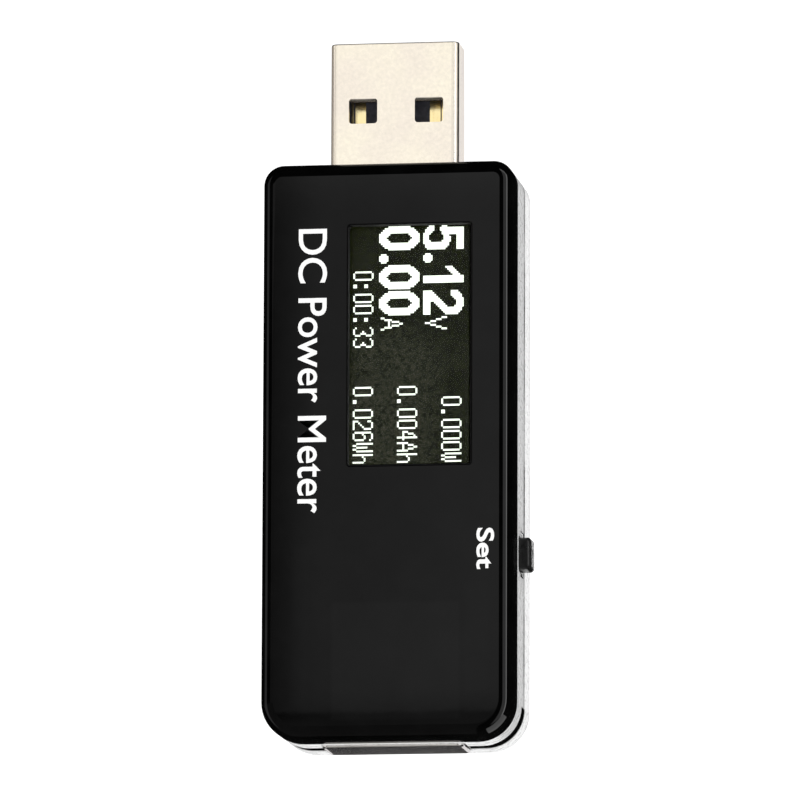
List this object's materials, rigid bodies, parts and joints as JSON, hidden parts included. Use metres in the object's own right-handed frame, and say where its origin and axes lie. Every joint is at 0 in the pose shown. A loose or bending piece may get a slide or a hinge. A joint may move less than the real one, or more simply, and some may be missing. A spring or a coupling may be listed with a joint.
{
  "type": "usb power meter",
  "caption": "Pocket pass-through power meter with a plug and a port at its ends, a small display under a glossy cover and a side button.",
  "frame": {"origin": "middle of the rear face, which the meter lies on", "axes": "+Z out of the display, +Y toward the plug, +X toward the button"},
  "size_m": [0.0243, 0.0658, 0.013],
  "materials": {
    "cover_black": "high gloss, smoked",
    "window_clear": "clear, glossy",
    "shell_white": "satin moulded white",
    "key_black": "fine satin",
    "plug_plate": "bright nickel plate",
    "port_plate": "bright nickel plate",
    "insulator_black": "matt",
    "contact_gold": "gold plated",
    "board_green": "solder resist",
    "panel_glass": "clear",
    "panel_face": "dark polarizer",
    "flex_amber": "satin film",
    "foam_black": "foam",
    "adhesive_white": "soft",
    "chip_black": "matt epoxy",
    "lead_tin": "tin plate",
    "can_steel": "satin",
    "capacitor_tan": "satin",
    "tantalum_yellow": "matt",
    "switch_black": "matt",
    "dome_steel": "bright",
    "plunger_white": "matt",
    "solder": "bright"
  },
  "bodies": {
    "housing": {"front_cover": "cover_black", "display_window": "window_clear", "upper_housing": "shell_white", "lower_housing": "shell_white", "plug_shell": "plug_plate", "plug_insulator": "insulator_black", "plug_contacts": "contact_gold", "receptacle_shell": "port_plate", "receptacle_insulator": "insulator_black", "receptacle_contacts": "contact_gold", "main_board": "board_green", "oled_adhesive_pad": "adhesive_white", "oled_rear_glass": "panel_glass", "oled_front_glass": "panel_glass", "oled_polarizer": "panel_face", "oled_driver_chip": "chip_black", "oled_flex": "flex_amber", "display_gasket": "foam_black", "microcontroller": "chip_black", "microcontroller_leads": "lead_tin", "sense_amplifier": "chip_black", "sense_amplifier_leads": "lead_tin", "voltage_regulator": "chip_black", "voltage_regulator_leads": "lead_tin", "memory_chip": "chip_black", "crystal": "can_steel", "shunt_resistor": "chip_black", "shunt_terminals": "lead_tin", "tantalum_capacitor": "tantalum_yellow", "protection_diode": "chip_black", "chip_capacitors": "capacitor_tan", "chip_resistors": "chip_black", "switch_base": "switch_black", "switch_cover": "can_steel", "switch_terminals": "lead_tin", "switch_dome": "dome_steel", "solder_joints": "solder"},
    "key": {"key_button": "key_black"},
    "plunger": {"switch_plunger": "plunger_white"}
  },
  "joints": [
    {"name": "key_press", "type": "slide", "parent": "housing", "child": "key", "axis": [-1, 0, 0], "range_m": [0, 0.0003], "stiffness_N_per_m": 2500, "deforming": ["switch_dome"]},
    {"name": "plunger_travel", "type": "slide", "parent": "housing", "child": "plunger", "axis": [-1, 0, 0], "range_m": [0, 0.00032]}
  ],
  "couplings": [
    {"joint": "plunger_travel", "follows": "key_press", "ratio": 1}
  ]
}
